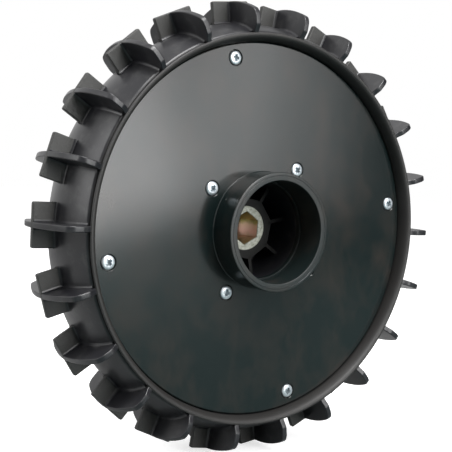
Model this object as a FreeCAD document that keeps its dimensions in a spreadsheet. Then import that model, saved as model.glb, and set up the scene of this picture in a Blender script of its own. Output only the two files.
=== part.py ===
"""Lugged drive wheel of a small outdoor robot, as a parametric FreeCAD document.

The axle runs along Y and the origin is on it, just in front of the middle of the tread. The side with the
screwed cover, the collar and the hexagonal drive socket faces -Y. Each piece is drawn with one lug pointing
straight up, and then turned with the whole wheel, so that two lugs straddle the lowest point.
"""

import FreeCAD, Part
import math
import os

import Sketcher

SIZES = [
    # Tread lugs: each is a fin across the wheel, with a short plate crossing it. The plates are staggered.
    ("lug_count", 22, "lugs around the tread"),
    ("lug_height", 11.7, "lug's flat top above the barrel"),
    ("fin_width", 56.2, "fin, from side to side of the wheel"),
    ("fin_thickness", 3, "fin, around the wheel"),
    ("fin_crown", 58.8, "radius of the curve along a fin's top"),
    ("fin_corner", 3, "rounding of a fin's corners"),
    ("tab_length", 23, "cross plate, around the wheel"),
    ("tab_thickness", 3, "cross plate, along the axle"),
    ("tab_stagger", 3.2, "neighbouring cross plates, apart along the axle"),
    # Rim: a barrel-shaped tread band with a lip at the cover side.
    ("barrel_rise", 7.1, "highest line of the barrel above the lip"),
    ("barrel_crown", 46, "radius of the barrel's curve from side to side"),
    ("barrel_flats", 8, "narrow bands that make up that curve"),
    ("rim_width", 52.2, "rim, from lip to back edge"),
    ("tread_offset", 1.1, "middle of the tread behind the origin"),
    ("back_step", 1.7, "rim's back face inside the lip's outer radius"),
    ("back_face", 3, "width of the rim's back face"),
    ("lip_face", 1.4, "width of the lip's face"),
    ("cove_width", 2.6, "slope inside the lip, across"),
    ("lip_land", 1.3, "lip, along the axle"),
    ("lip_round", 0.6, "bevel of the rim's outer corners"),
    ("groove_width", 1.2, "groove between lip and barrel"),
    ("groove_depth", 0.9, "groove below the lip"),
    ("cove_height", 3.4, "slope inside the lip, along the axle"),
    ("seat_width", 4.2, "ledge that the cover's edge rests on"),
    # Web and hub at the back.
    ("back_recess", 8.2, "web behind the rim's back edge"),
    ("web_thickness", 4, "web that closes the back"),
    ("dish_width", 5, "slope from the rim's back face down to the web"),
    ("hub_back_radius", 24, "raised pad round the axle bolt"),
    ("hub_back_height", 5, "pad above the web"),
    ("bolt_hole", 10.5, "hole for the axle bolt"),
    ("tube_bore", 53, "inside of the hub tube"),
    ("tube_wall", 3.5, "wall of the hub tube"),
    ("boss_corners", 36.3, "eight-sided boss, across its corners"),
    ("rib_thickness", 2.2, "ribs inside the hub and behind the cover"),
    ("rib_drop", 2, "ribs below the underside of the cover"),
    # Side cover with its collar.
    ("cover_inset", 7, "cover's face below the lip"),
    ("cover_radius", 101.4, "cover disc"),
    ("cover_gap", 0.3, "gap around the cover disc"),
    ("cover_thickness", 4, "cover disc"),
    ("cover_bevel", 0.7, "bevel of the cover's edge"),
    ("collar_outer", 64, "collar, outside"),
    ("collar_bore", 55, "collar, inside"),
    ("collar_height", 16.5, "collar above the cover's face"),
    ("collar_foot", 0.8, "bevel at the foot of the collar"),
    ("shoulder_bore", 53, "shoulder at the bottom of the collar's bore"),
    ("shoulder_depth", 17.6, "collar's end to the shoulder"),
    # Drive bush with its hexagonal socket.
    ("bush_radius", 12.5, "steel bush"),
    ("bush_length", 22, "steel bush"),
    ("bush_setback", 2, "bush face, in front of the wheel's middle"),
    ("socket_flats", 16.1, "hexagonal socket across its flats"),
    ("socket_bevel", 0.6, "bevel at the socket's mouth"),
    # Screws that hold the cover.
    ("screw_edge", 7.6, "outer screws inside the cover's edge"),
    ("outer_screw_angle", 47, "outer screws above and below the level line"),
    ("inner_screw_circle", 80.2, "circle of the inner screws"),
    ("screw_boss", 9, "boss that takes a screw"),
    ("pilot_hole", 3.3, "hole that the screw cuts its thread in"),
    ("pilot_depth", 16, "depth of that hole"),
    ("seat_hole", 8.6, "pocket for the screw head"),
    ("seat_depth", 2, "depth of that pocket"),
    ("clearance_hole", 4.5, "hole through the cover"),
    ("head_diameter", 7.5, "pan head"),
    ("head_height", 2.6, "pan head"),
    ("shank_diameter", 3.3, "screw shank, as wide as the hole it is driven into"),
    ("shank_length", 14, "screw below its head"),
]

doc = FreeCAD.newDocument("lugged_drive_wheel")
sheet = doc.addObject("Spreadsheet::Sheet", "sizes")
for row, (alias, number, meaning) in enumerate(SIZES, start=1):
    sheet.set(f"A{row}", meaning)
    sheet.set(f"B{row}", str(number))
    sheet.setAlias(f"B{row}", alias)
doc.recompute()

# Distances from the axle that several pieces share. All of them follow from the cover.
COVER_POCKET = "(sizes.cover_radius + sizes.cover_gap)"
CAVITY = f"({COVER_POCKET} - sizes.seat_width)"
LIP_INNER = f"({COVER_POCKET} + sizes.cove_width)"
LIP_OUTER = f"({LIP_INNER} + sizes.lip_face)"
BARREL_TOP = f"({LIP_OUTER} + sizes.barrel_rise)"
LUG_TOP = f"({BARREL_TOP} + sizes.lug_height)"
OUTER_CIRCLE = "(2 * (sizes.cover_radius - sizes.screw_edge))"
# Places along the axle that several pieces share.
TREAD_MIDDLE = "sizes.tread_offset"
LIP_FACE = f"({TREAD_MIDDLE} - sizes.rim_width / 2)"
RIM_BACK = f"({TREAD_MIDDLE} + sizes.rim_width / 2)"
COVER_FACE = f"({LIP_FACE} + sizes.cover_inset)"
COVER_BACK = f"({COVER_FACE} + sizes.cover_thickness)"
COLLAR_END = f"({COVER_FACE} - sizes.collar_height)"
WEB_BACK = f"({RIM_BACK} - sizes.back_recess)"
WEB_FRONT = f"({WEB_BACK} - sizes.web_thickness)"
BUSH_FACE = "(-sizes.bush_setback)"
SCREW_SEAT = f"({COVER_FACE} + sizes.seat_depth)"
# The wheel is turned by three and a half lugs, so that two of them straddle its lowest point.
TURN = "(3.5 * 360 / sizes.lug_count)"


def value(expression):
    """Gives the number that an expression on the sheet stands for."""
    return float(sheet.evalExpression(expression))


def new_body(label):
    """Adds a piece that is drawn upright and turned with the wheel."""
    body = doc.addObject("PartDesign::Body", label)
    body.Label = label
    body.Placement = FreeCAD.Placement(
        FreeCAD.Vector(), FreeCAD.Rotation(FreeCAD.Vector(0, 1, 0), -value(TURN))
    )
    body.setExpression("Placement.Rotation.Angle", f"-{TURN}")
    return body


def origin_part(body, role):
    """Finds an axis or plane of the body's own origin."""
    return next(part for part in body.Origin.OriginFeatures if part.Role == role)


def new_sketch(body, name, plane, height=None):
    """Adds a sketch on an origin plane of the body, raised along the plane's normal."""
    sketch = body.newObject("Sketcher::SketchObject", name)
    sketch.AttachmentSupport = (origin_part(body, plane), [""])
    sketch.MapMode = "FlatFace"
    if height is not None:
        sketch.setExpression("AttachmentOffset.Base.z", height)
    return sketch


def pin_point(sketch, element, point, across, along):
    """Holds a point of a sketch at two distances from the sketch's origin."""
    for kind, axis, expression in (("DistanceX", -2, across), ("DistanceY", -1, along)):
        distance = value(expression)
        if expression == "0":
            sketch.addConstraint(Sketcher.Constraint("PointOnObject", element, point, axis))
            continue
        index = sketch.addConstraint(Sketcher.Constraint(kind, -1, 1, element, point, distance))
        sketch.setExpression(f"Constraints[{index}]", expression)


def draw_outline(sketch, corners):
    """Draws a closed outline through corners given as (across, along) in terms of the sheet.

    A corner with two more entries starts an arc: its radius, and the side its centre lies on, 1 for the
    left of the way to the next corner and -1 for the right.
    """
    places = [FreeCAD.Vector(value(corner[0]), value(corner[1]), 0) for corner in corners]
    ends = []
    for start, corner, goal in zip(places, corners, places[1:] + places[:1]):
        if len(corner) == 2:
            element = sketch.addGeometry(Part.LineSegment(start, goal))
            ends.append((element, 1, 2))
            continue
        radius, side = value(corner[2]), corner[3]
        chord = goal - start
        reach = math.sqrt(radius**2 - (chord.Length / 2) ** 2)
        left = FreeCAD.Vector(-chord.y, chord.x, 0).normalize()
        centre = (start + goal) / 2 + left * (side * reach)
        first, last = (start, goal) if side > 0 else (goal, start)
        angles = [math.atan2(end.y - centre.y, end.x - centre.x) for end in (first, last)]
        circle = Part.Circle(centre, FreeCAD.Vector(0, 0, 1), radius)
        element = sketch.addGeometry(Part.ArcOfCircle(circle, *angles))
        ends.append((element, 1, 2) if side > 0 else (element, 2, 1))
        index = sketch.addConstraint(Sketcher.Constraint("Radius", element, radius))
        sketch.setExpression(f"Constraints[{index}]", corner[2])
    for (element, _, end), (following, start, _) in zip(ends, ends[1:] + ends[:1]):
        sketch.addConstraint(Sketcher.Constraint("Coincident", element, end, following, start))
    for (element, start, _), corner in zip(ends, corners):
        pin_point(sketch, element, start, corner[0], corner[1])


def draw_circle(sketch, across, along, radius):
    """Draws a circle whose centre and radius are given in terms of the sheet."""
    centre = FreeCAD.Vector(value(across), value(along), 0)
    element = sketch.addGeometry(Part.Circle(centre, FreeCAD.Vector(0, 0, 1), value(radius)))
    index = sketch.addConstraint(Sketcher.Constraint("Radius", element, value(radius)))
    sketch.setExpression(f"Constraints[{index}]", radius)
    pin_point(sketch, element, 3, across, along)


def revolve(body, name, sketch):
    """Turns a section once round the axle."""
    feature = body.newObject("PartDesign::Revolution", name)
    feature.Profile = sketch
    feature.ReferenceAxis = (sketch, ["V_Axis"])
    feature.Angle = 360
    return feature


def pad(body, name, sketch, length, symmetric=False):
    """Thickens a sketch along its normal, or to both sides of its plane."""
    feature = body.newObject("PartDesign::Pad", name)
    feature.Profile = sketch
    feature.SideType = "Symmetric" if symmetric else "One side"
    feature.setExpression("Length", length)
    return feature


def pocket(body, name, sketch, depth):
    """Cuts a sketch into the body, against the sketch's normal."""
    feature = body.newObject("PartDesign::Pocket", name)
    feature.Profile = sketch
    feature.setExpression("Length", depth)
    return feature


def repeat_round_axle(body, name, originals, count):
    """Repeats features evenly round the axle."""
    feature = body.newObject("PartDesign::PolarPattern", name)
    feature.Originals = originals
    feature.Axis = (origin_part(body, "Y_Axis"), [""])
    feature.Angle = 360
    feature.setExpression("Occurrences", count)
    body.Tip = feature
    return feature


def across_circle(circle, angle):
    """Gives the place on a circle at an angle above the level line, as two expressions."""
    return f"({circle} / 2 * cos({angle}))", f"({circle} / 2 * sin({angle}))"


def turned_corner(across, up, turn):
    """Gives a corner after a turn round the axle, as two expressions."""
    return (
        f"({across} * cos({turn}) + {up} * sin({turn}))",
        f"({up} * cos({turn}) - {across} * sin({turn}))",
    )


def regular_outline(corner_radius, sides, first_angle):
    """Gives the corners of a regular outline round the axle."""
    corners = []
    for number in range(sides):
        angle = first_angle + number * 360 / sides
        corners.append((f"({corner_radius} * cos({angle}))", f"({corner_radius} * sin({angle}))"))
    return corners


# ---- Wheel body: rim, web, hub tube, ribs and lugs, moulded in one piece ----

wheel = new_body("wheel_body")

# Section of everything that runs all the way round, from the bolt hole out to the lip and back.
GROOVE_BACK = f"({LIP_FACE} + sizes.lip_land + sizes.groove_width)"
BARREL_CENTRE = f"({BARREL_TOP} - sizes.barrel_crown)"
RIM_BACK_OUTER = f"({LIP_OUTER} - sizes.back_step)"
RIM_BACK_INNER = f"({RIM_BACK_OUTER} - sizes.back_face)"


def barrel_radius_at(place):
    """Gives the barrel's radius at a place along the axle."""
    return f"({BARREL_CENTRE} + sqrt(sizes.barrel_crown ^ 2 - ({place} - {TREAD_MIDDLE}) ^ 2))"


BARREL_BACK = f"({RIM_BACK} - sizes.lip_round)"
barrel = []
for number in range(int(value("sizes.barrel_flats")) + 1):
    step = f"({BARREL_BACK} - {GROOVE_BACK}) * {number} / sizes.barrel_flats"
    barrel.append((barrel_radius_at(f"({GROOVE_BACK} + {step})"), f"({GROOVE_BACK} + {step})"))
TUBE_OUTER = "(sizes.tube_bore / 2 + sizes.tube_wall)"
section = new_sketch(wheel, "rim_section", "XY_Plane")
draw_outline(section, [
    ("(sizes.bolt_hole / 2)", f"({WEB_BACK} + sizes.hub_back_height)"),
    ("(sizes.bolt_hole / 2)", WEB_FRONT),
    ("(sizes.tube_bore / 2)", WEB_FRONT),
    ("(sizes.tube_bore / 2)", COVER_BACK),
    (TUBE_OUTER, COVER_BACK),
    (TUBE_OUTER, WEB_FRONT),
    (CAVITY, WEB_FRONT),
    (CAVITY, COVER_BACK),
    (COVER_POCKET, COVER_BACK),
    (COVER_POCKET, f"({LIP_FACE} + sizes.cove_height)"),
    (LIP_INNER, LIP_FACE),
    (f"({LIP_OUTER} - sizes.lip_round)", LIP_FACE),
    (LIP_OUTER, f"({LIP_FACE} + sizes.lip_round)"),
    (LIP_OUTER, f"({LIP_FACE} + sizes.lip_land)"),
    (f"({LIP_OUTER} - sizes.groove_depth)", f"({LIP_FACE} + sizes.lip_land)"),
    (f"({LIP_OUTER} - sizes.groove_depth)", GROOVE_BACK),
    *barrel,
    (RIM_BACK_OUTER, RIM_BACK),
    (RIM_BACK_INNER, RIM_BACK),
    (f"({RIM_BACK_INNER} - sizes.dish_width)", WEB_BACK),
    ("sizes.hub_back_radius", WEB_BACK),
    ("sizes.hub_back_radius", f"({WEB_BACK} + sizes.hub_back_height)"),
])
revolve(wheel, "rim_web_and_tube", section)

# Eight-sided boss that grips the bush, and the bore for the bush.
BOSS_ROOT = f"({WEB_FRONT} + sizes.web_thickness / 2)"
boss_outline = new_sketch(wheel, "boss_outline", "XZ_Plane", f"-{BOSS_ROOT}")
draw_outline(boss_outline, regular_outline("sizes.boss_corners / 2", 8, 0))
pad(wheel, "bush_boss", boss_outline, f"{BOSS_ROOT} - {BUSH_FACE}")
bore_outline = new_sketch(wheel, "bore_outline", "XZ_Plane", f"-{BUSH_FACE}")
draw_circle(bore_outline, "0", "0", "sizes.bush_radius")
pocket(wheel, "bush_bore", bore_outline, "sizes.bush_length")

# One rib from the boss through the hub tube to the rim, then eight of them.
TUBE_MIDDLE = "(sizes.tube_bore / 2 + sizes.tube_wall / 2)"
RIM_RIB_TOP = f"({COVER_BACK} + sizes.rib_drop)"
RIB_END = f"({COVER_POCKET} - sizes.seat_width / 2)"
rib_outline = new_sketch(wheel, "rib_outline", "XY_Plane")
draw_outline(rib_outline, [
    ("(sizes.bush_radius + sizes.boss_corners / 2) / 2", BOSS_ROOT),
    ("(sizes.bush_radius + sizes.boss_corners / 2) / 2", BUSH_FACE),
    (TUBE_MIDDLE, BUSH_FACE),
    (TUBE_MIDDLE, RIM_RIB_TOP),
    (RIB_END, RIM_RIB_TOP),
    (RIB_END, BOSS_ROOT),
])
rib = pad(wheel, "rib", rib_outline, "sizes.rib_thickness", symmetric=True)
repeat_round_axle(wheel, "ribs", [rib], "8")

# Bosses with pilot holes for the inner screws and the outer pairs of screws.
INNER_PLACE = ("(sizes.inner_screw_circle / 2)", "0")
OUTER_PLACES = [
    across_circle(OUTER_CIRCLE, "sizes.outer_screw_angle"),
    across_circle(OUTER_CIRCLE, "-sizes.outer_screw_angle"),
]
for group, places, count in (("inner", [INNER_PLACE], "4"), ("outer", OUTER_PLACES, "2")):
    boss_circles = new_sketch(wheel, f"{group}_boss_circles", "XZ_Plane", f"-{BOSS_ROOT}")
    pilot_circles = new_sketch(wheel, f"{group}_pilot_circles", "XZ_Plane", f"-{COVER_BACK}")
    for across, along in places:
        draw_circle(boss_circles, across, along, "sizes.screw_boss / 2")
        draw_circle(pilot_circles, across, along, "sizes.pilot_hole / 2")
    bosses = pad(wheel, f"{group}_bosses", boss_circles, f"{BOSS_ROOT} - {COVER_BACK}")
    pilots = pocket(wheel, f"{group}_pilots", pilot_circles, "sizes.pilot_depth")
    repeat_round_axle(wheel, f"{group}_screw_bosses", [bosses, pilots], count)

# A fin with its arched top, and the pattern of fins round the tread.
FIN_SIDE = "(sizes.fin_width / 2)"
CROWN_CENTRE = f"({LUG_TOP} - sizes.fin_crown)"
CORNER_REACH = "(sizes.fin_crown - sizes.fin_corner)"
CORNER_SIDE = f"({FIN_SIDE} - sizes.fin_corner)"
CORNER_CENTRE = f"({CROWN_CENTRE} + sqrt({CORNER_REACH} ^ 2 - {CORNER_SIDE} ^ 2))"
CROWN_SHARE = f"(sizes.fin_crown / {CORNER_REACH})"
CROWN_SIDE = f"({CORNER_SIDE} * {CROWN_SHARE})"
CROWN_END = f"({CROWN_CENTRE} + ({CORNER_CENTRE} - {CROWN_CENTRE}) * {CROWN_SHARE})"
FIN_FOOT = f"({LIP_INNER} + sizes.lip_face / 2)"
FOOT_SIDE = "(sizes.rim_width / 2 - sizes.lip_round / 2)"
FOOT_RISE = f"({LIP_OUTER} + sizes.fin_corner)"
fin_outline = new_sketch(wheel, "fin_outline", "YZ_Plane")
draw_outline(fin_outline, [
    (f"({TREAD_MIDDLE} - {FOOT_SIDE})", FIN_FOOT),
    (f"({TREAD_MIDDLE} + {FOOT_SIDE})", FIN_FOOT),
    (f"({TREAD_MIDDLE} + {FIN_SIDE})", FOOT_RISE),
    (f"({TREAD_MIDDLE} + {FIN_SIDE})", CORNER_CENTRE, "sizes.fin_corner", 1),
    (f"({TREAD_MIDDLE} + {CROWN_SIDE})", CROWN_END, "sizes.fin_crown", 1),
    (f"({TREAD_MIDDLE} - {CROWN_SIDE})", CROWN_END, "sizes.fin_corner", 1),
    (f"({TREAD_MIDDLE} - {FIN_SIDE})", CORNER_CENTRE),
    (f"({TREAD_MIDDLE} - {FIN_SIDE})", FOOT_RISE),
])
fin = pad(wheel, "fin", fin_outline, "sizes.fin_thickness", symmetric=True)
repeat_round_axle(wheel, "fins", [fin], "sizes.lug_count")

# The cross plates: every second one lies further back, so each set has its own pattern.
TAB_FOOT = f"({BARREL_TOP} - sizes.fin_thickness)"
TAB_SIDE = "(sizes.tab_length / 2)"
TAB_SHIFT = "sizes.tab_stagger / 2"
for group, turn, place in (
    ("back", "0", f"({TREAD_MIDDLE} + {TAB_SHIFT})"),
    ("front", "(360 / sizes.lug_count)", f"({TREAD_MIDDLE} - {TAB_SHIFT})"),
):
    tab_outline = new_sketch(wheel, f"{group}_tab_outline", "XZ_Plane", f"-{place}")
    draw_outline(tab_outline, [
        turned_corner(f"(-{TAB_SIDE})", TAB_FOOT, turn),
        turned_corner(TAB_SIDE, TAB_FOOT, turn),
        turned_corner(TAB_SIDE, LUG_TOP, turn),
        turned_corner(f"(-{TAB_SIDE})", LUG_TOP, turn),
    ])
    tab = pad(wheel, f"{group}_tab", tab_outline, "sizes.tab_thickness", symmetric=True)
    repeat_round_axle(wheel, f"{group}_tabs", [tab], "sizes.lug_count / 2")

# ---- Side cover: a disc with the collar standing on it, moulded in one piece ----

cover = new_body("side_cover")
SHOULDER = f"({COLLAR_END} + sizes.shoulder_depth)"
cover_section = new_sketch(cover, "cover_section", "XY_Plane")
draw_outline(cover_section, [
    ("(sizes.shoulder_bore / 2)", COVER_BACK),
    ("(sizes.shoulder_bore / 2)", SHOULDER),
    ("(sizes.collar_bore / 2)", SHOULDER),
    ("(sizes.collar_bore / 2)", COLLAR_END),
    ("(sizes.collar_outer / 2)", COLLAR_END),
    ("(sizes.collar_outer / 2)", f"({COVER_FACE} - sizes.collar_foot)"),
    ("(sizes.collar_outer / 2 + sizes.collar_foot)", COVER_FACE),
    ("(sizes.cover_radius - sizes.cover_bevel)", COVER_FACE),
    ("sizes.cover_radius", f"({COVER_FACE} + sizes.cover_bevel)"),
    ("sizes.cover_radius", COVER_BACK),
])
revolve(cover, "disc_and_collar", cover_section)
for group, places, count in (("inner", [INNER_PLACE], "4"), ("outer", OUTER_PLACES, "2")):
    seat_circles = new_sketch(cover, f"{group}_seat_circles", "XZ_Plane", f"-{COVER_FACE}")
    hole_circles = new_sketch(cover, f"{group}_hole_circles", "XZ_Plane", f"-{COVER_FACE}")
    for across, along in places:
        draw_circle(seat_circles, across, along, "sizes.seat_hole / 2")
        draw_circle(hole_circles, across, along, "sizes.clearance_hole / 2")
    seats = pocket(cover, f"{group}_seats", seat_circles, "sizes.seat_depth")
    holes = pocket(cover, f"{group}_holes", hole_circles, "sizes.cover_thickness")
    repeat_round_axle(cover, f"{group}_screw_seats", [seats, holes], count)

# ---- Hexagonal drive bush: turned steel, broached right through ----

bush = new_body("hex_drive_bush")
SOCKET_CORNER = "(sizes.socket_flats / sqrt(3))"
BUSH_BACK = f"({BUSH_FACE} + sizes.bush_length)"
bush_section = new_sketch(bush, "bush_section", "XY_Plane")
draw_outline(bush_section, [
    ("(sizes.socket_flats / 4)", BUSH_FACE),
    ("sizes.bush_radius", BUSH_FACE),
    ("sizes.bush_radius", BUSH_BACK),
    ("(sizes.socket_flats / 4)", BUSH_BACK),
])
revolve(bush, "turned_bush", bush_section)
socket_outline = new_sketch(bush, "socket_outline", "XZ_Plane", f"-{BUSH_FACE}")
draw_outline(socket_outline, regular_outline(SOCKET_CORNER, 6, 30))
pocket(bush, "hexagonal_socket", socket_outline, "sizes.bush_length")
bevel_section = new_sketch(bush, "bevel_section", "XY_Plane")
draw_outline(bevel_section, [
    ("(sizes.socket_flats / 4)", BUSH_FACE),
    (f"({SOCKET_CORNER} + sizes.socket_bevel / 4)", BUSH_FACE),
    ("(sizes.socket_flats / 4)", f"({BUSH_FACE} + sizes.socket_flats / 4)"),
])
bevel = bush.newObject("PartDesign::Groove", "socket_mouth")
bevel.Profile = bevel_section
bevel.ReferenceAxis = (bevel_section, ["V_Axis"])
bevel.Angle = 360

# ---- Cover screws: eight pan-head screws, driven into the moulded bosses ----


def new_screw(label, circle, angle):
    """Adds a screw in its seat on a circle round the axle."""
    screw = doc.addObject("PartDesign::Body", label)
    screw.Label = label
    across, up = across_circle(circle, f"({TURN} + {angle})")
    screw.setExpression("Placement.Base.x", across)
    screw.setExpression("Placement.Base.y", SCREW_SEAT)
    screw.setExpression("Placement.Base.z", up)
    profile = new_sketch(screw, f"{label}_section", "XY_Plane")
    draw_outline(profile, [
        ("0", "-sizes.head_height"),
        ("0", "sizes.shank_length"),
        ("(sizes.shank_diameter / 2)", "sizes.shank_length"),
        ("(sizes.shank_diameter / 2)", "0"),
        ("(sizes.head_diameter / 2)", "0"),
        ("(sizes.head_diameter / 2)", "-sizes.head_height"),
    ])
    revolve(screw, f"{label}_turned", profile)


OUTER_ANGLES = [
    "sizes.outer_screw_angle",
    "(180 - sizes.outer_screw_angle)",
    "(180 + sizes.outer_screw_angle)",
    "(-sizes.outer_screw_angle)",
]
for number, angle in enumerate(OUTER_ANGLES):
    new_screw(f"outer_screw_{number + 1}", OUTER_CIRCLE, angle)
for number in range(4):
    new_screw(f"inner_screw_{number + 1}", "sizes.inner_screw_circle", f"{number * 90}")

doc.recompute()

# ---- Every object is checked before any piece is written ----

for item in doc.Objects:
    if "Invalid" in item.State or "Error" in item.State:
        raise RuntimeError(f"{item.Label} did not recompute: {item.State}")
pieces = [item for item in doc.Objects if item.TypeId == "PartDesign::Body"]
for piece in pieces:
    shape = piece.Shape
    if shape.isNull() or not shape.isValid() or len(shape.Solids) != 1:
        raise RuntimeError(f"{piece.Label} is not one sound solid")
os.makedirs("parts", exist_ok=True)
for piece in pieces:
    piece.Shape.exportStep(f"parts/{piece.Label}.step")
    print(piece.Label, round(piece.Shape.Volume, 1))
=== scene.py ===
import math

import bmesh
import bpy
from mathutils import Matrix, Quaternion, Vector


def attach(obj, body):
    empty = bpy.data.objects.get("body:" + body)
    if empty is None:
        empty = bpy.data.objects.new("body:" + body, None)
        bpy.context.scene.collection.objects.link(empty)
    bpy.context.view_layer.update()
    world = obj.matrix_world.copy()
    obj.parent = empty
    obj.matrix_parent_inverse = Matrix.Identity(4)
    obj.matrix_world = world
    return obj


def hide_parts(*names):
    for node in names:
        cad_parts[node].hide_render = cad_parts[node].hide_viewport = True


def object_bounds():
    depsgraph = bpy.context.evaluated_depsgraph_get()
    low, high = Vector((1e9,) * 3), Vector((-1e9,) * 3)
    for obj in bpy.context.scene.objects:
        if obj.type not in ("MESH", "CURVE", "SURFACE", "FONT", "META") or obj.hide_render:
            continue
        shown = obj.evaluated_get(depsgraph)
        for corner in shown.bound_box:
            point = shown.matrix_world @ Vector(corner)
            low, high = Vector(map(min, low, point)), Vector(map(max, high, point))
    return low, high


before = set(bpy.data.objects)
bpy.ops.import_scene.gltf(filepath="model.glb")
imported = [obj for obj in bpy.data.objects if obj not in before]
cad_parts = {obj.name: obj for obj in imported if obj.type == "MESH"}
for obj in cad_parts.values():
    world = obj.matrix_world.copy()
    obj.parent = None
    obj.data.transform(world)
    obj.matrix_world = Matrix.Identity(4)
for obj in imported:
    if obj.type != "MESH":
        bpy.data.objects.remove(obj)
cad_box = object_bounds()

# ---- Tread band and web ----
# One black plastic moulding: a band that bulges between the sides, a lip round the cover's seat, and the web
# that closes the back. It comes out of the tool smooth, but for some dust and a duller mouth inside the lip,
# where the colour also turns a darker warm black as painted shade.

MM = 0.001
TAU = 2 * math.pi


def new_edges(mesh, points, closed=True):
    """Joins points, given as (radius, along the axle) in millimetres, by straight edges."""
    corners = [mesh.verts.new((0, along * MM, radius * MM)) for radius, along in points]
    following = corners[1:] + corners[:1] if closed else corners[1:]
    for first, second in zip(corners, following):
        mesh.edges.new((first, second))
    return corners


def spaced(first, last, gaps):
    """Gives evenly spaced places from the first to the last."""
    return [first + (last - first) * step / gaps for step in range(gaps + 1)]


def spin_round_axle(mesh, geometry, steps):
    """Turns a section once round the axle."""
    bmesh.ops.spin(
        mesh, geom=geometry, axis=(0, 1, 0), cent=(0, 0, 0), angle=TAU, steps=steps, use_merge=True
    )


def merge_doubles(mesh):
    """Merges the points that a full turn leaves on top of each other."""
    bmesh.ops.remove_doubles(mesh, verts=mesh.verts, dist=0.001 * MM)


def stand_upright(mesh):
    """Turns what was drawn with a lug straight up, so that two lugs straddle the lowest point."""
    bmesh.ops.rotate(mesh, verts=mesh.verts, cent=(0, 0, 0), matrix=UPRIGHT)


def round_corners(mesh, corners, width, segments=3):
    """Rounds the corners of a flat outline by a width in millimetres."""
    bmesh.ops.bevel(
        mesh, geom=corners, offset=width * MM, segments=segments, profile=0.5, material=-1,
        affect="VERTICES",
    )


def soften(mesh, edges, width, segments=2):
    """Rounds edges by a width in millimetres."""
    bmesh.ops.bevel(
        mesh, geom=list(edges), offset=width * MM, segments=segments, profile=0.5, material=-1,
        affect="EDGES", clamp_overlap=True,
    )


def finish_piece(mesh, name, material, node, sharp=35, even=True):
    """Makes a piece of the wheel that stands in for a node and shades smoothly up to sharp edges."""
    bmesh.ops.recalc_face_normals(mesh, faces=mesh.faces)
    for face in mesh.faces:
        face.smooth = True
    for edge in mesh.edges:
        edge.smooth = edge.is_manifold and edge.calc_face_angle() < math.radians(sharp)
    data = bpy.data.meshes.new(name)
    mesh.to_mesh(data)
    mesh.free()
    data.materials.append(material)
    piece = bpy.data.objects.new(name, data)
    bpy.context.scene.collection.objects.link(piece)
    if even:
        piece.modifiers.new("even_shading", "WEIGHTED_NORMAL").keep_sharp = True
    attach(piece, "root")
    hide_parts(node)
    return piece


def new_material(name):
    """Starts a material and gives its shader, its nodes and links."""
    material = bpy.data.materials.new(name)
    material.use_nodes = True
    tree = material.node_tree
    return material, tree.nodes["Principled BSDF"], tree.nodes, tree.links


def noise(nodes, links, source, scale, detail=3.0, roughness=0.55):
    """Adds a noise pattern, its scale in repeats per metre."""
    pattern = nodes.new("ShaderNodeTexNoise")
    pattern.inputs["Scale"].default_value = scale
    pattern.inputs["Detail"].default_value = detail
    pattern.inputs["Roughness"].default_value = roughness
    links.new(source, pattern.inputs["Vector"])
    return pattern.outputs["Fac"]


def spread(nodes, links, source, low, high, out_low, out_high):
    """Maps a pattern from one range to another."""
    remap = nodes.new("ShaderNodeMapRange")
    for name, number in (
        ("From Min", low), ("From Max", high), ("To Min", out_low), ("To Max", out_high),
    ):
        remap.inputs[name].default_value = number
    links.new(source, remap.inputs["Value"])
    return remap.outputs["Result"]


def blend_colours(nodes, links, share, first, second):
    """Mixes two colours by a pattern. The first may be another mixture."""
    mix = nodes.new("ShaderNodeMix")
    mix.data_type = "RGBA"
    links.new(share, mix.inputs["Factor"])
    if isinstance(first, tuple):
        mix.inputs["A"].default_value = (*first, 1)
    else:
        links.new(first, mix.inputs["A"])
    mix.inputs["B"].default_value = (*second, 1)
    return mix.outputs["Result"]


def add_bump(nodes, links, shader, height, depth):
    """Adds relief, its depth in millimetres."""
    bump = nodes.new("ShaderNodeBump")
    bump.inputs["Distance"].default_value = depth * MM
    links.new(height, bump.inputs["Height"])
    links.new(bump.outputs["Normal"], shader.inputs["Normal"])


def combine(nodes, links, operation, first, second):
    """Works out a sum or a product of two patterns."""
    sum_or_product = nodes.new("ShaderNodeMath")
    sum_or_product.operation = operation
    links.new(first, sum_or_product.inputs[0])
    links.new(second, sum_or_product.inputs[1])
    return sum_or_product.outputs["Value"]


def place_on_wheel(nodes, links, place):
    """Gives a point's distance from the axle and its place along it, in metres."""
    position = nodes.new("ShaderNodeSeparateXYZ")
    links.new(place, position.inputs["Vector"])
    flatten = nodes.new("ShaderNodeVectorMath")
    flatten.operation = "MULTIPLY"
    flatten.inputs[1].default_value = (1, 0, 1)
    links.new(place, flatten.inputs[0])
    from_axle = nodes.new("ShaderNodeVectorMath")
    from_axle.operation = "LENGTH"
    links.new(flatten.outputs["Vector"], from_axle.inputs[0])
    return from_axle.outputs["Value"], position.outputs["Y"]


# The wheel is turned by three and a half lugs, so that it stands on two of them.
LUG_COUNT = 22
CLOCK = 3.5 * TAU / LUG_COUNT
UPRIGHT = Matrix.Rotation(-CLOCK, 3, "Y")

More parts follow.
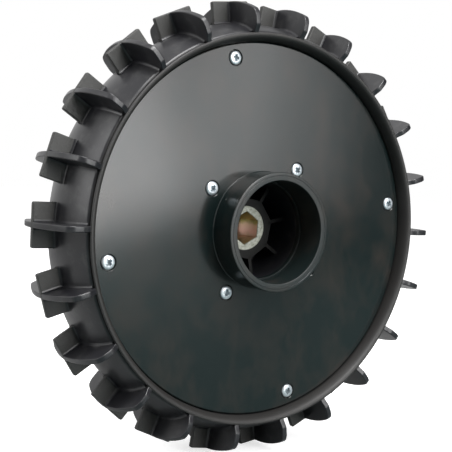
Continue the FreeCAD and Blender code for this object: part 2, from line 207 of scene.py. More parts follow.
# Radii from the axle, and places along it from the cover's side to the back.
BARREL_TOP, BARREL_CROWN, GROOVE_FLOOR = 112.8, 46.0, 104.8
LIP_OUTER, LIP_INNER, POCKET, SEAT_INNER = 105.7, 104.3, 101.7, 97.5
TUBE_OUTER, TUBE_INNER, BUSH_HOLE, BOLT_HOLE, PAD_RADIUS = 30.0, 26.5, 12.55, 5.25, 24.0
LIP_FACE, LIP_BACK, BARREL_FRONT, COVE_END, COVER_SEAT = -25.0, -23.7, -22.5, -17.8, -14.0
TREAD_MIDDLE, WEB_FRONT, WEB_BACK, BUSH_STOP, PAD_BACK = 1.1, 15.0, 19.0, 20.0, 24.0
BARREL_BACK, RIM_BACK = 26.6, 27.2
barrel_centre = BARREL_TOP - BARREL_CROWN

SMOOTH_BLACK, DUST_GREY, MOUTH_PAINTED_SHADE = (0.009, 0.009, 0.011), (0.04, 0.04, 0.04), (0.0105, 0.0095, 0.0088)
body_plastic, shader, nodes, links = new_material("smooth_black_moulding")
place = nodes.new("ShaderNodeTexCoord").outputs["Object"]
flow = noise(nodes, links, place, 28, 4.0)
scuff = noise(nodes, links, place, 160, 5.0, 0.7)
dusty = spread(nodes, links, scuff, 0.52, 0.8, 0.0, 1.0)
from_axle, along_axle = place_on_wheel(nodes, links, place)
within_lip = spread(nodes, links, from_axle, (LIP_OUTER + 0.4) * MM, (LIP_OUTER - 0.4) * MM, 0, 1)
near_front = spread(nodes, links, along_axle, (COVER_SEAT - 1) * MM, (COVER_SEAT - 4) * MM, 0, 1)
in_mouth = combine(nodes, links, "MULTIPLY", within_lip, near_front)
open_plastic = blend_colours(nodes, links, dusty, SMOOTH_BLACK, DUST_GREY)
# Inside the lip's mouth the colour is a darker warm black without dust, which is painted shade over the lip
# and cove; the extra roughness there is the mouth's duller finish.
links.new(blend_colours(nodes, links, in_mouth, open_plastic, MOUTH_PAINTED_SHADE), shader.inputs["Base Color"])
roughness = combine(nodes, links, "ADD", spread(nodes, links, flow, 0.3, 0.7, 0.28, 0.38),
                    spread(nodes, links, in_mouth, 0, 1, 0, 0.22))
links.new(roughness, shader.inputs["Roughness"])
add_bump(nodes, links, shader, flow, 0.06)


def barrel_radius(along):
    """Gives the band's radius at a place along the axle."""
    return barrel_centre + math.sqrt(BARREL_CROWN**2 - (along - TREAD_MIDDLE) ** 2)


mesh = bmesh.new()
back = [(PAD_RADIUS, WEB_BACK), (96, WEB_BACK), (101, RIM_BACK), (104, RIM_BACK)]
barrel = [(barrel_radius(y), y) for y in reversed(spaced(BARREL_FRONT, BARREL_BACK, 20))]
lip = [
    (GROOVE_FLOOR, BARREL_FRONT), (GROOVE_FLOOR, LIP_BACK), (LIP_OUTER, LIP_BACK), (LIP_OUTER, LIP_FACE),
    (LIP_INNER, LIP_FACE),
]
cove = [
    (LIP_INNER + (POCKET - LIP_INNER) * math.sin(turn), COVE_END + (LIP_FACE - COVE_END) * math.cos(turn))
    for turn in map(math.radians, (20, 35, 50, 65, 80, 90))
]
inside = [
    (POCKET, COVER_SEAT), (SEAT_INNER, COVER_SEAT), (SEAT_INNER, WEB_FRONT), (TUBE_OUTER, WEB_FRONT),
    (TUBE_OUTER, COVER_SEAT), (TUBE_INNER, COVER_SEAT), (TUBE_INNER, WEB_FRONT), (BUSH_HOLE, WEB_FRONT),
    (BUSH_HOLE, BUSH_STOP), (BOLT_HOLE, BUSH_STOP), (BOLT_HOLE, PAD_BACK), (PAD_RADIUS, PAD_BACK),
]
corners = new_edges(mesh, back + barrel + lip + cove + inside)
barrel_edge = len(back + barrel) - 1
round_corners(mesh, [corners[0], corners[2], corners[3], corners[-1], corners[-8], corners[-9]], 0.4)
round_corners(mesh, [corners[barrel_edge]], 0.9, 4)
round_corners(mesh, corners[barrel_edge + 3:barrel_edge + 5], 0.65, 4)
spin_round_axle(mesh, mesh.verts[:] + mesh.edges[:], 264)
merge_doubles(mesh)
stand_upright(mesh)
finish_piece(mesh, "rim_and_web", body_plastic, "wheel_body")

# ---- Tread lugs ----
# Moulded in one with the band: a thin fin across the tread with an arched top, and a short plate crossing
# it. Both stand on small fillets, the fin's foot runs over the lip, and neighbouring plates are staggered.

LUG_TOP, FIN_THICK, FIN_CROWN, FIN_CORNER = 124.5, 3.0, 58.8, 3.6
FIN_FRONT, FIN_BACK, FIN_FLANK = -27.0, 29.2, 110.4


def fin_top(along):
    """Gives the radius of a fin's arched top at a place along the axle."""
    return LUG_TOP - FIN_CROWN + math.sqrt(FIN_CROWN**2 - (along - TREAD_MIDDLE) ** 2)


def move_raised(mesh, extruded, by):
    """Moves the points of what was extruded, by a step in millimetres."""
    verts = [item for item in extruded["geom"] if isinstance(item, bmesh.types.BMVert)]
    bmesh.ops.translate(mesh, verts=verts, vec=Vector(by) * MM)


# A fin is drawn from the side, at the top of the wheel, and drawn out to its thickness.
fin = bmesh.new()
front_foot = [(104.9, -24.6), (106.4, -25.0), (107.6, -25.7), (109.2, -26.7), (FIN_FLANK, FIN_FRONT)]
back_foot = [(FIN_FLANK, FIN_BACK), (109.2, 28.9), (107.6, 27.9), (106.4, 27.2), (104.9, 26.8)]
arch = [(fin_top(y), y) for y in spaced(FIN_FRONT, FIN_BACK, 24)]
corners = new_edges(fin, front_foot + arch + back_foot)
round_corners(fin, [corners[len(front_foot)], corners[len(front_foot + arch) - 1]], FIN_CORNER, 6)
outline = bmesh.ops.contextual_create(fin, geom=fin.edges[:])["faces"]
bmesh.ops.translate(fin, verts=fin.verts, vec=(-FIN_THICK / 2 * MM, 0, 0))
move_raised(fin, bmesh.ops.extrude_face_region(fin, geom=outline), (FIN_THICK, 0, 0))
bmesh.ops.recalc_face_normals(fin, faces=fin.faces)
soften(fin, [e for e in fin.edges if e.calc_face_angle(0) > math.radians(69)], 0.6, 3)

# Fillets along the fin's feet, the plate's feet and the inner corners of the cross. Each is a bead with a
# hollow face, sunk a little into both walls.
FILLET, SUNK = 1.4, 0.05
bead = [(FILLET * a - SUNK, FILLET * b - SUNK)
        for a, b in ((0, 0), (1, 0), (0.55, 0.12), (0.28, 0.28), (0.12, 0.55), (0, 1))]


def sweep_bead(mesh, start, out, up, axis, cent, angle, steps):
    """Sweeps a fillet's section along an arc, from one end to the other."""
    corners = [mesh.verts.new(start + (out * a + up * b) * MM) for a, b in bead]
    face = mesh.faces.new(corners)
    bmesh.ops.rotate(mesh, verts=corners, cent=cent, matrix=Matrix.Rotation(-angle / 2, 3, axis))
    bmesh.ops.spin(mesh, geom=[face, *corners, *face.edges], axis=axis, cent=cent, angle=angle,
                   steps=steps, use_merge=False)


def repeat_round_tread(pattern, mesh, count, first=0):
    """Repeats what is drawn at the top of the wheel, from one lug on, and adds it to a mesh."""
    turn = UPRIGHT @ Matrix.Rotation(first * TAU / LUG_COUNT, 3, "Y")
    bmesh.ops.rotate(pattern, verts=pattern.verts, cent=(0, 0, 0), matrix=turn)
    bmesh.ops.spin(pattern, geom=pattern.verts[:] + pattern.edges[:] + pattern.faces[:],
                   axis=(0, 1, 0), cent=(0, 0, 0), angle=TAU * (count - 1) / count, steps=count - 1,
                   use_duplicate=True)
    data = bpy.data.meshes.new("pattern")
    pattern.to_mesh(data)
    pattern.free()
    mesh.from_mesh(data)
    bpy.data.meshes.remove(data)


FIN_FOOT = 47.2
for side in (-1, 1):
    sweep_bead(fin, Vector((side * FIN_THICK / 2, TREAD_MIDDLE, BARREL_TOP)) * MM,
               Vector((side, 0, 0)), Vector((0, 0, 1)), Vector((1, 0, 0)),
               Vector((0, TREAD_MIDDLE, barrel_centre)) * MM,
               2 * math.asin(FIN_FOOT / 2 / BARREL_CROWN), 16)
fins = bmesh.new()
repeat_round_tread(fin, fins, LUG_COUNT)

# The cross plates go round in two sets, and every second one lies further back.
PLATE_LENGTH, PLATE_THICK, PLATE_HEIGHT, PLATE_STAGGER = 23.0, 3.0, 14.5, 3.2
CROSS_FOOT, CROSS_TOP = 112.0, 124.0
plates = bmesh.new()
for first, middle in enumerate((TREAD_MIDDLE + PLATE_STAGGER / 2, TREAD_MIDDLE - PLATE_STAGGER / 2)):
    beads = bmesh.new()
    for side in (-1, 1):
        sweep_bead(beads, Vector((0, middle + side * PLATE_THICK / 2, barrel_radius(middle))) * MM,
                   Vector((0, side, 0)), Vector((0, 0, 1)), Vector((0, 1, 0)), (0, 0, 0),
                   PLATE_LENGTH / BARREL_TOP, 6)
    for across in (-1, 1):
        for along in (-1, 1):
            corners = [
                beads.verts.new(Vector((across * (FIN_THICK / 2 + a),
                                        middle + along * (PLATE_THICK / 2 + b), CROSS_FOOT)) * MM)
                for a, b in bead
            ]
            face = beads.faces.new(corners)
            move_raised(beads, bmesh.ops.extrude_face_region(beads, geom=[face]),
                        (0, 0, CROSS_TOP - CROSS_FOOT))
    repeat_round_tread(beads, fins, LUG_COUNT // 2, first)
    plate = bmesh.new()
    verts = bmesh.ops.create_cube(plate, size=1)["verts"]
    size = Vector((PLATE_LENGTH, PLATE_THICK, PLATE_HEIGHT)) * MM
    bmesh.ops.scale(plate, verts=verts, vec=size)
    bmesh.ops.translate(plate, verts=verts, vec=(0, middle * MM, (LUG_TOP - PLATE_HEIGHT / 2) * MM))
    upper_corners = [
        e for e in plate.edges if abs(e.verts[0].co.y - e.verts[1].co.y) > PLATE_THICK / 2 * MM
        and max(v.co.z for v in e.verts) > (LUG_TOP - PLATE_HEIGHT / 2) * MM
    ]
    soften(plate, upper_corners, 0.9, 4)
    soften(plate, [e for e in plate.edges if e.calc_face_angle(0) > math.radians(57)], 0.6, 3)
    repeat_round_tread(plate, plates, LUG_COUNT // 2, first)
finish_piece(fins, "tread_fins", body_plastic, "wheel_body")

# The cross plates keep a fine, matt grain from the tool.
GRAIN_DARK, GRAIN_LIGHT = (0.0135, 0.0135, 0.0125), (0.0345, 0.034, 0.032)
grained_plastic, shader, nodes, links = new_material("grained_black_moulding")
place = nodes.new("ShaderNodeTexCoord").outputs["Object"]
grain = noise(nodes, links, place, 1100, 2.0, 0.7)
links.new(blend_colours(nodes, links, grain, GRAIN_DARK, GRAIN_LIGHT), shader.inputs["Base Color"])
shader.inputs["Roughness"].default_value = 0.55
add_bump(nodes, links, shader, grain, 0.10)
finish_piece(plates, "cross_plates", grained_plastic, "wheel_body")

# ---- Hub boss, ribs and screw bosses ----
# An eight-sided boss grips the bush. Eight ribs run from its corners through the hub tube out to the rim, and
# eight round bosses behind the cover take its screws. All of it belongs to the same black moulding, but it is
# painted darker and less shiny than the rest, as painted shade for the collar's shadow over the hub.

BUSH_RADIUS, BUSH_FACE, BUSH_LENGTH = 12.5, -2.0, 22.0
BOSS_CORNER, BOSS_FACE, RIB_THICK, RIB_FRONT, RIB_FOOT = 18.15, -1.95, 2.2, -12.0, 15.5
OUTER_CIRCLE, INNER_CIRCLE, OUTER_ANGLE, SCREW_BOSS = 93.8, 40.1, math.radians(47), 4.5


def lay_flat(mesh, verts, along):
    """Turns what is drawn level to face along the axle, and moves it there."""
    bmesh.ops.rotate(mesh, verts=verts, cent=(0, 0, 0), matrix=Matrix.Rotation(math.pi / 2, 3, "X"))
    bmesh.ops.translate(mesh, verts=verts, vec=(0, along * MM, 0))


def thicken(mesh, faces, depth):
    """Pulls faces out along the axle."""
    move_raised(mesh, bmesh.ops.extrude_face_region(mesh, geom=faces), (0, depth, 0))


screw_places = [
    (radius * math.cos(angle), radius * math.sin(angle))
    for radius, angle in (
        *[(OUTER_CIRCLE, CLOCK + turn) for turn in
          (OUTER_ANGLE, math.pi - OUTER_ANGLE, math.pi + OUTER_ANGLE, -OUTER_ANGLE)],
        *[(INNER_CIRCLE, CLOCK + turn * TAU / 4) for turn in range(4)],
    )
]

# Painted shade: the boss, ribs and screw bosses get a darker colour and less shine than the body plastic,
# standing in for the collar's shadow; the noise only varies the tone.
HUB_PAINTED_SHADE_BLACK, HUB_PAINTED_SHADE_GREY = (0.004, 0.004, 0.004), (0.012, 0.012, 0.011)
hub_painted_shade_plastic, shader, nodes, links = new_material("black_moulding_painted_shade")
place = nodes.new("ShaderNodeTexCoord").outputs["Object"]
flow = noise(nodes, links, place, 90, 4.0, 0.6)
links.new(blend_colours(nodes, links, flow, HUB_PAINTED_SHADE_BLACK, HUB_PAINTED_SHADE_GREY), shader.inputs["Base Color"])
links.new(spread(nodes, links, flow, 0.3, 0.7, 0.42, 0.55), shader.inputs["Roughness"])
shader.inputs["Specular IOR Level"].default_value = 0.15
add_bump(nodes, links, shader, flow, 0.05)

# The boss and the ribs start a little inside the web, and each rib ends inside a wall.
mesh = bmesh.new()
bmesh.ops.create_circle(mesh, segments=8, radius=BOSS_CORNER * MM)
bmesh.ops.subdivide_edges(mesh, edges=mesh.edges[:], cuts=7)
bmesh.ops.create_circle(mesh, segments=64, radius=(BUSH_RADIUS + 0.02) * MM)
lay_flat(mesh, mesh.verts, WEB_FRONT + 1)
ring = bmesh.ops.bridge_loops(mesh, edges=mesh.edges[:])["faces"]
thicken(mesh, ring, BOSS_FACE - (WEB_FRONT + 1))
short_rib = (BOSS_CORNER - 2.65, TUBE_INNER + 1, BOSS_FACE)
long_rib = (TUBE_OUTER - 1.5, SEAT_INNER + 2.1, RIB_FRONT)
for step in range(8):
    for inner, outer, front in (short_rib, long_rib):
        rib = bmesh.ops.create_cube(mesh, size=1)["verts"]
        size = Vector((outer - inner, RIB_FOOT - front, RIB_THICK)) * MM
        middle = Vector((outer + inner, RIB_FOOT + front, 0)) / 2 * MM
        bmesh.ops.scale(mesh, verts=rib, vec=size)
        bmesh.ops.translate(mesh, verts=rib, vec=middle)
        turn = Matrix.Rotation(step * TAU / 8, 3, "Y")
        bmesh.ops.rotate(mesh, verts=rib, cent=(0, 0, 0), matrix=turn)
bmesh.ops.recalc_face_normals(mesh, faces=mesh.faces)
soften(mesh, [e for e in mesh.edges if e.calc_face_angle(0) > 0.5], 0.3)
stand_upright(mesh)
for across, up in screw_places:
    boss = bmesh.ops.create_circle(mesh, cap_ends=True, segments=32, radius=SCREW_BOSS * MM)["verts"]
    faces = list({face for vertex in boss for face in vertex.link_faces})
    lay_flat(mesh, boss, RIB_FOOT)
    bmesh.ops.translate(mesh, verts=boss, vec=(across * MM, 0, up * MM))
    thicken(mesh, faces, COVER_SEAT - RIB_FOOT)
finish_piece(mesh, "hub_boss_and_ribs", hub_painted_shade_plastic, "wheel_body")

# ---- Side cover and collar ----
# A flat disc with the collar standing on it, moulded in a smoother black plastic. It drops into the lip, and
# eight screws in round pockets hold it.

COVER_FACE, COVER_RADIUS, COVER_EDGE = -18.0, 101.4, 0.7
COLLAR_END, COLLAR_OUTER, COLLAR_BORE, SHOULDER_BORE, SHOULDER_DEPTH = -34.5, 32.0, 27.5, 26.5, 17.6
POCKET_RADIUS, POCKET_DEPTH, SCREW_HOLE = 4.3, 2.0, 2.25


def carve(mesh, cutter):
    """Cuts one closed mesh out of another and gives back what is left."""
    pair = []
    for label, source in (("kept", mesh), ("cutter", cutter)):
        bmesh.ops.recalc_face_normals(source, faces=source.faces)
        data = bpy.data.meshes.new(label)
        source.to_mesh(data)
        source.free()
        pair.append(bpy.data.objects.new(label, data))
        bpy.context.scene.collection.objects.link(pair[-1])
    cut = pair[0].modifiers.new("cut", "BOOLEAN")
    cut.object = pair[1]
    cut.operation = "DIFFERENCE"
    cut.solver = "EXACT"
    carved = bmesh.new()
    carved.from_object(pair[0], bpy.context.evaluated_depsgraph_get())
    for item in pair:
        bpy.data.meshes.remove(item.data)
    return carved


COOL_BLACK, WARM_BLACK = (0.004, 0.008, 0.008), (0.017, 0.015, 0.013)
cover_plastic, shader, nodes, links = new_material("satin_black_plastic")
place = nodes.new("ShaderNodeTexCoord").outputs["Object"]
cloud = noise(nodes, links, place, 14, 4.0, 0.6)
fine = noise(nodes, links, place, 1800, 2.0)
upward = nodes.new("ShaderNodeMapping")
upward.inputs["Scale"].default_value = (1, 1, 0.6)
links.new(place, upward.inputs["Vector"])
streaks = spread(nodes, links, noise(nodes, links, upward.outputs["Vector"], 46, 6.0, 0.7),
                 0.44, 0.68, 0, 1)
links.new(blend_colours(nodes, links, streaks, COOL_BLACK, WARM_BLACK), shader.inputs["Base Color"])
# The collar's outside is duller than the disc, its end more so, and its bore is dull and deep.
from_axle, along_axle = place_on_wheel(nodes, links, place)
on_collar = spread(nodes, links, along_axle, (COVER_FACE - 0.4) * MM, (COVER_FACE - 0.8) * MM, 0, 0.07)
on_end = spread(nodes, links, along_axle, (COLLAR_END + 0.5) * MM, (COLLAR_END + 0.1) * MM, 0, 0.11)
in_bore = spread(nodes, links, from_axle, (COLLAR_BORE + 0.5) * MM, (COLLAR_BORE - 0.1) * MM, 0, 0.3)
roughness = spread(nodes, links, cloud, 0.3, 0.7, 0.15, 0.20)
for duller in (on_collar, on_end, in_bore):
    roughness = combine(nodes, links, "ADD", roughness, duller)
links.new(roughness, shader.inputs["Roughness"])
links.new(spread(nodes, links, in_bore, 0, 0.3, 0.5, 0.2), shader.inputs["Specular IOR Level"])
add_bump(nodes, links, shader, fine, 0.006)

# The collar's bore steps in half way down, and its end has a fine ring groove.
mesh = bmesh.new()
corners = new_edges(mesh, [
    (SHOULDER_BORE, COVER_SEAT), (SHOULDER_BORE, COLLAR_END + SHOULDER_DEPTH),
    (COLLAR_BORE, COLLAR_END + SHOULDER_DEPTH), (COLLAR_BORE, COLLAR_END),
    (30.0, COLLAR_END), (30.15, COLLAR_END + 0.2), (30.4, COLLAR_END + 0.2), (30.55, COLLAR_END),
    (COLLAR_OUTER, COLLAR_END), (COLLAR_OUTER, COVER_FACE - 0.5), (COLLAR_OUTER + 0.35, COVER_FACE),
    (COVER_RADIUS - COVER_EDGE, COVER_FACE), (COVER_RADIUS, COVER_FACE + COVER_EDGE),
    (COVER_RADIUS, COVER_SEAT),
])
round_corners(mesh, [corners[3], corners[8]], 0.5)
round_corners(mesh, [corners[1], corners[11], corners[12]], 0.25)
round_corners(mesh, [corners[9], corners[10]], 0.08, 2)
spin_round_axle(mesh, mesh.verts[:] + mesh.edges[:], 192)
merge_doubles(mesh)

# Each screw has a hole and a pocket with a small bevel at its mouth.
cutter = bmesh.new()
for across, up in screw_places:
    corners = new_edges(cutter, [
        (0, COVER_FACE - 4), (POCKET_RADIUS + 4.2, COVER_FACE - 4), (POCKET_RADIUS, COVER_FACE + 0.2),
        (POCKET_RADIUS, COVER_FACE + POCKET_DEPTH), (SCREW_HOLE, COVER_FACE + POCKET_DEPTH),
        (SCREW_HOLE, COVER_SEAT + 2), (0, COVER_SEAT + 2),
    ], closed=False)
    edges = list({edge for corner in corners for edge in corner.link_edges})
    spun = len(cutter.verts)
    spin_round_axle(cutter, corners + edges, 40)
    cutter.verts.ensure_lookup_table()
    moved = corners + cutter.verts[spun:]
    bmesh.ops.translate(cutter, verts=moved, vec=(across * MM, 0, up * MM))
merge_doubles(cutter)
mesh = carve(mesh, cutter)
finish_piece(mesh, "side_cover_shell", cover_plastic, "side_cover")

# ---- Drive bush ----
# Turned steel with a broached hexagonal socket. It is zinc plated, and the socket's walls have gone yellow
# and pink under the passivation.

SOCKET_FLATS, SOCKET_MOUTH, BUSH_BEVEL = 16.1, 0.35, 0.4
socket_corner = SOCKET_FLATS / math.sqrt(3)

ZINC_STAIN, ZINC_GREY = (0.20, 0.205, 0.165), (0.41, 0.42, 0.365)
bush_zinc, shader, nodes, links = new_material("rough_zinc")
place = nodes.new("ShaderNodeTexCoord").outputs["Object"]
stain = noise(nodes, links, place, 700, 4.0, 0.65)
links.new(blend_colours(nodes, links, spread(nodes, links, stain, 0.35, 0.6, 0, 1), ZINC_STAIN, ZINC_GREY),
          shader.inputs["Base Color"])
shader.inputs["Metallic"].default_value = 0.35
shader.inputs["Roughness"].default_value = 0.5
add_bump(nodes, links, shader, stain, 0.05)

# The tint goes from brown at the bottom of the socket through pink to yellow at its top.
passivated, shader, nodes, links = new_material("yellow_passivation")
place = nodes.new("ShaderNodeTexCoord").outputs["Object"]
height = nodes.new("ShaderNodeSeparateXYZ")
links.new(place, height.inputs["Vector"])
bloom = nodes.new("ShaderNodeMath")
bloom.operation = "MULTIPLY_ADD"
bloom.inputs[1].default_value = 0.004
links.new(noise(nodes, links, place, 220, 3.0), bloom.inputs[0])
links.new(height.outputs["Z"], bloom.inputs[2])
tint = nodes.new("ShaderNodeValToRGB")
tint.color_ramp.elements[0].color = (0.38, 0.28, 0.13, 1)
tint.color_ramp.elements[1].color = (0.50, 0.45, 0.14, 1)
for share, colour in ((0.14, (0.70, 0.46, 0.30, 1)), (0.35, (0.98, 0.60, 0.48, 1)),
                      (0.60, (0.98, 0.68, 0.48, 1)), (0.72, (0.66, 0.56, 0.20, 1))):
    tint.color_ramp.elements.new(share).color = colour
links.new(spread(nodes, links, bloom.outputs["Value"], -0.0055, 0.0095, 0, 1), tint.inputs["Fac"])
links.new(tint.outputs["Color"], shader.inputs["Base Color"])
shader.inputs["Metallic"].default_value = 0.6
shader.inputs["Roughness"].default_value = 0.38
add_bump(nodes, links, shader, noise(nodes, links, place, 500, 3.0), 0.03)


def grow_edge(mesh, edges, factor, along):
    """Pulls a loop of edges on, scaled about the axle, to a place along it."""
    grown = bmesh.ops.extrude_edge_only(mesh, edges=edges)["geom"]
    verts = [item for item in grown if isinstance(item, bmesh.types.BMVert)]
    bmesh.ops.scale(mesh, verts=verts, vec=(factor, 1, factor))
    for vertex in verts:
        vertex.co.y = along * MM
    return [item for item in grown if isinstance(item, bmesh.types.BMEdge)]


mesh = bmesh.new()
bmesh.ops.create_circle(mesh, segments=6, radius=(socket_corner + SOCKET_MOUTH) * MM)
bmesh.ops.subdivide_edges(mesh, edges=mesh.edges[:], cuts=15)
bmesh.ops.create_circle(mesh, segments=96, radius=(BUSH_RADIUS - BUSH_BEVEL) * MM)
lay_flat(mesh, mesh.verts, BUSH_FACE)
bmesh.ops.bridge_loops(mesh, edges=mesh.edges[:])
between = (socket_corner + BUSH_RADIUS) / 2 * MM
bevel_end, bush_end = BUSH_FACE + BUSH_BEVEL, BUSH_FACE + BUSH_LENGTH
rims = [e for e in mesh.edges if e.is_boundary]
socket_edge = [e for e in rims if e.verts[0].co.length < between]
outer_edge = [e for e in rims if e.verts[0].co.length > between]
socket_edge = grow_edge(mesh, socket_edge, socket_corner / (socket_corner + SOCKET_MOUTH), bevel_end)
socket_edge = grow_edge(mesh, socket_edge, 1, bush_end)
outer_edge = grow_edge(mesh, outer_edge, BUSH_RADIUS / (BUSH_RADIUS - BUSH_BEVEL), bevel_end)
outer_edge = grow_edge(mesh, outer_edge, 1, bush_end)
bmesh.ops.bridge_loops(mesh, edges=socket_edge + outer_edge)
stand_upright(mesh)
for face in mesh.faces:
    middle = face.calc_center_median()
    in_socket = Vector((middle.x, middle.z)).length < (socket_corner + 0.1) * MM
    face.material_index = int(in_socket and abs(face.normal.y) < 0.5)
bush = finish_piece(mesh, "drive_bush", bush_zinc, "hex_drive_bush", even=False)
bush.data.materials.append(passivated)

# ---- Cover screws ----
# Eight pan-head steel screws with cross recesses and bright zinc, driven into the bosses behind the cover.
# Each is turned as far as its driver left it.

HEAD_RADIUS, HEAD_SEAT, HEAD_TOP = 3.75, -16.0, -18.6
SHANK_RADIUS, SHANK_LENGTH, RECESS_LENGTH, RECESS_WIDTH, RECESS_DEPTH = 1.65, 14.0, 5.0, 1.8, 2.7

ZINC_SHADE, ZINC_BRIGHT = (0.40, 0.45, 0.48), (0.64, 0.68, 0.71)
screw_zinc, shader, nodes, links = new_material("bright_zinc")
place = nodes.new("ShaderNodeTexCoord").outputs["Object"]
tarnish = noise(nodes, links, place, 420, 3.0)
links.new(blend_colours(nodes, links, tarnish, ZINC_SHADE, ZINC_BRIGHT), shader.inputs["Base Color"])
shader.inputs["Metallic"].default_value = 0.75
links.new(spread(nodes, links, tarnish, 0.3, 0.7, 0.30, 0.42), shader.inputs["Roughness"])

screw = bmesh.new()
new_edges(screw, [
    (0, HEAD_TOP), (2.2, HEAD_TOP + 0.05), (3.0, HEAD_TOP + 0.14), (3.4, HEAD_TOP + 0.36),
    (3.65, HEAD_TOP + 0.75), (HEAD_RADIUS, HEAD_TOP + 1.3), (HEAD_RADIUS, HEAD_SEAT),
    (SHANK_RADIUS, HEAD_SEAT), (SHANK_RADIUS, HEAD_SEAT + SHANK_LENGTH - 0.8),
    (0.9, HEAD_SEAT + SHANK_LENGTH), (0, HEAD_SEAT + SHANK_LENGTH),
], closed=False)
spin_round_axle(screw, screw.verts[:] + screw.edges[:], 48)
merge_doubles(screw)
for angle in (0, math.pi / 2):
    recess = bmesh.new()
    arm = bmesh.ops.create_cube(recess, size=1)["verts"]
    size = Vector((RECESS_LENGTH, 2 * (RECESS_DEPTH - 0.2), RECESS_WIDTH)) * MM
    bmesh.ops.scale(recess, verts=arm, vec=size)
    bmesh.ops.translate(recess, verts=arm, vec=(0, (HEAD_TOP + 0.2) * MM, 0))
    for vertex in arm:
        if vertex.co.y > HEAD_TOP * MM:
            vertex.co.x *= 0.5
            vertex.co.z *= 0.8
    bmesh.ops.rotate(recess, verts=arm, cent=(0, 0, 0), matrix=Matrix.Rotation(angle, 3, "Y"))
    screw = carve(screw, recess)
screw_data = bpy.data.meshes.new("screw")
screw.to_mesh(screw_data)
screw.free()
screw_names = [f"outer_screw_{n}" for n in range(1, 5)] + [f"inner_screw_{n}" for n in range(1, 5)]
driver_turns = (2, 44, 18, 30, 47, 38, 12, 25)
for name, (across, up), degrees in zip(screw_names, screw_places, driver_turns):
    mesh = bmesh.new()
    mesh.from_mesh(screw_data)
    turn = Matrix.Rotation(math.radians(degrees), 3, "Y")
    bmesh.ops.rotate(mesh, verts=mesh.verts, cent=(0, 0, 0), matrix=turn)
    bmesh.ops.translate(mesh, verts=mesh.verts, vec=(across * MM, 0, up * MM))
    finish_piece(mesh, f"{name}_detailed", screw_zinc, name, sharp=40, even=False)

# ---- Floor, light and camera ----
# The camera sees a white floor. To the wheel it is grey, and dim in front, where the cover mirrors it. The
# light comes from a tall leaning soft box in front, two slim ones beside it, one above and one at the left.

DIM_FLOOR, GREY_FLOOR, WHITE_FLOOR, FLOOR_GLOW = (0.10, 0.14, 0.14), (0.42, 0.42, 0.42), (0.8, 0.8, 0.8), 0.62
floor_mesh = bmesh.new()
bmesh.ops.create_grid(floor_mesh, x_segments=1, y_segments=1, size=6)
bmesh.ops.translate(floor_mesh, verts=floor_mesh.verts, vec=(0, 0, cad_box[0][2] - 0.0002))
floor_data = bpy.data.meshes.new("floor")
floor_mesh.to_mesh(floor_data)
floor_mesh.free()
floor = bpy.data.objects.new("floor", floor_data)
bpy.context.scene.collection.objects.link(floor)
paper, shader, nodes, links = new_material("pale_paper")
depth = nodes.new("ShaderNodeSeparateXYZ")
links.new(nodes.new("ShaderNodeTexCoord").outputs["Object"], depth.inputs["Vector"])
behind = spread(nodes, links, depth.outputs["Y"], -0.08, 0.06, 0, 1)
links.new(blend_colours(nodes, links, behind, DIM_FLOOR, GREY_FLOOR), shader.inputs["Base Color"])
shader.inputs["Roughness"].default_value = 0.9
lit = nodes.new("ShaderNodeBsdfDiffuse")
lit.inputs["Color"].default_value = (*WHITE_FLOOR, 1)
glow = nodes.new("ShaderNodeEmission")
glow.inputs["Strength"].default_value = FLOOR_GLOW
seen = nodes.new("ShaderNodeAddShader")
path = nodes.new("ShaderNodeLightPath")
choice = nodes.new("ShaderNodeMixShader")
links.new(lit.outputs["BSDF"], seen.inputs[0])
links.new(glow.outputs["Emission"], seen.inputs[1])
links.new(path.outputs["Is Camera Ray"], choice.inputs["Fac"])
links.new(shader.outputs["BSDF"], choice.inputs[1])
links.new(seen.outputs["Shader"], choice.inputs[2])
links.new(choice.outputs["Shader"], nodes["Material Output"].inputs["Surface"])
floor_data.materials.append(paper)

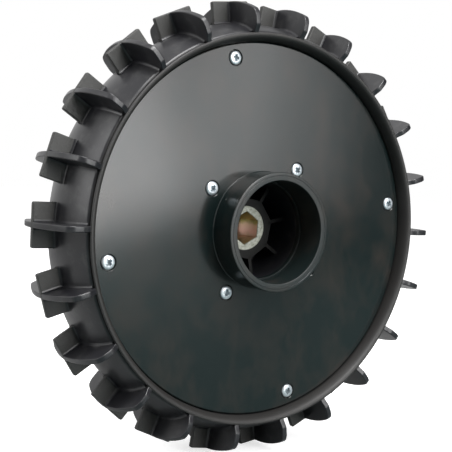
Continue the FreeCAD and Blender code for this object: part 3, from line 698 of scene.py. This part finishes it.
# The room's glow comes from behind at the left, and the camera sees plain white.
world = bpy.data.worlds.new("studio")
bpy.context.scene.world = world
world.use_nodes = True
nodes, links = world.node_tree.nodes, world.node_tree.links
room = nodes["Background"]
bright_side = nodes.new("ShaderNodeVectorMath")
bright_side.operation = "DOT_PRODUCT"
bright_side.inputs[1].default_value = (-0.55, 0.75, 0.35)
links.new(nodes.new("ShaderNodeTexCoord").outputs["Generated"], bright_side.inputs[0])
links.new(spread(nodes, links, bright_side.outputs["Value"], -0.5, 0.8, 0.12, 0.95),
          room.inputs["Strength"])
room.inputs["Color"].default_value = (1, 1, 1, 1)
white = nodes.new("ShaderNodeBackground")
white.inputs["Color"].default_value = (1, 1, 1, 1)
path = nodes.new("ShaderNodeLightPath")
choice = nodes.new("ShaderNodeMixShader")
links.new(path.outputs["Is Camera Ray"], choice.inputs["Fac"])
links.new(room.outputs["Background"], choice.inputs[1])
links.new(white.outputs["Background"], choice.inputs[2])
links.new(choice.outputs["Shader"], nodes["World Output"].inputs["Surface"])


def soft_light(name, place, aim, size, power, lean=0):
    """Adds a soft light at a place, pointed at another, and leaning to one side."""
    lamp = bpy.data.lights.new(name, "AREA")
    lamp.shape = "RECTANGLE"
    lamp.size, lamp.size_y = size
    lamp.energy = power
    light = bpy.data.objects.new(name, lamp)
    light.location = place
    towards = (Vector(aim) - Vector(place)).to_track_quat("-Z", "Y")
    light.rotation_euler = (towards @ Quaternion((0, 0, 1), math.radians(lean))).to_euler()
    bpy.context.scene.collection.objects.link(light)


soft_light("front_softbox", (0.156, -0.923, 0.363), (0.031, 0.007, 0.023), (0.40, 1.05), 10.1, 21)
soft_light("side_softbox", (0.56, -0.90, 0.39), (0.10, 0, 0.0), (0.16, 0.86), 1.7)
soft_light("dim_softbox", (0.70, -0.87, 0.39), (0.10, 0, 0.0), (0.16, 0.86), 0.9)
soft_light("top_softbox", (-0.10, -0.45, 1.0), (0, 0, 0), (0.6, 0.5), 17.5)
soft_light("left_softbox", (-1.0, 0.10, 0.42), (0, 0, 0), (0.5, 0.85), 4)

view = bpy.data.cameras.new("camera")
view.lens = 72.5
view.sensor_width = 36
view.clip_start = 0.01
camera = bpy.data.objects.new("camera", view)
camera.location = (-0.29226, -0.41940, 0.02801)
turn = (
    Matrix.Rotation(math.radians(-33.75), 4, "Z")
    @ Matrix.Rotation(math.radians(90 - 3.08), 4, "X")
    @ Matrix.Rotation(math.radians(2.84), 4, "Z")
)
camera.rotation_euler = turn.to_euler()
bpy.context.scene.collection.objects.link(camera)
bpy.context.scene.camera = camera

bpy.context.scene.view_settings.view_transform = "Standard"
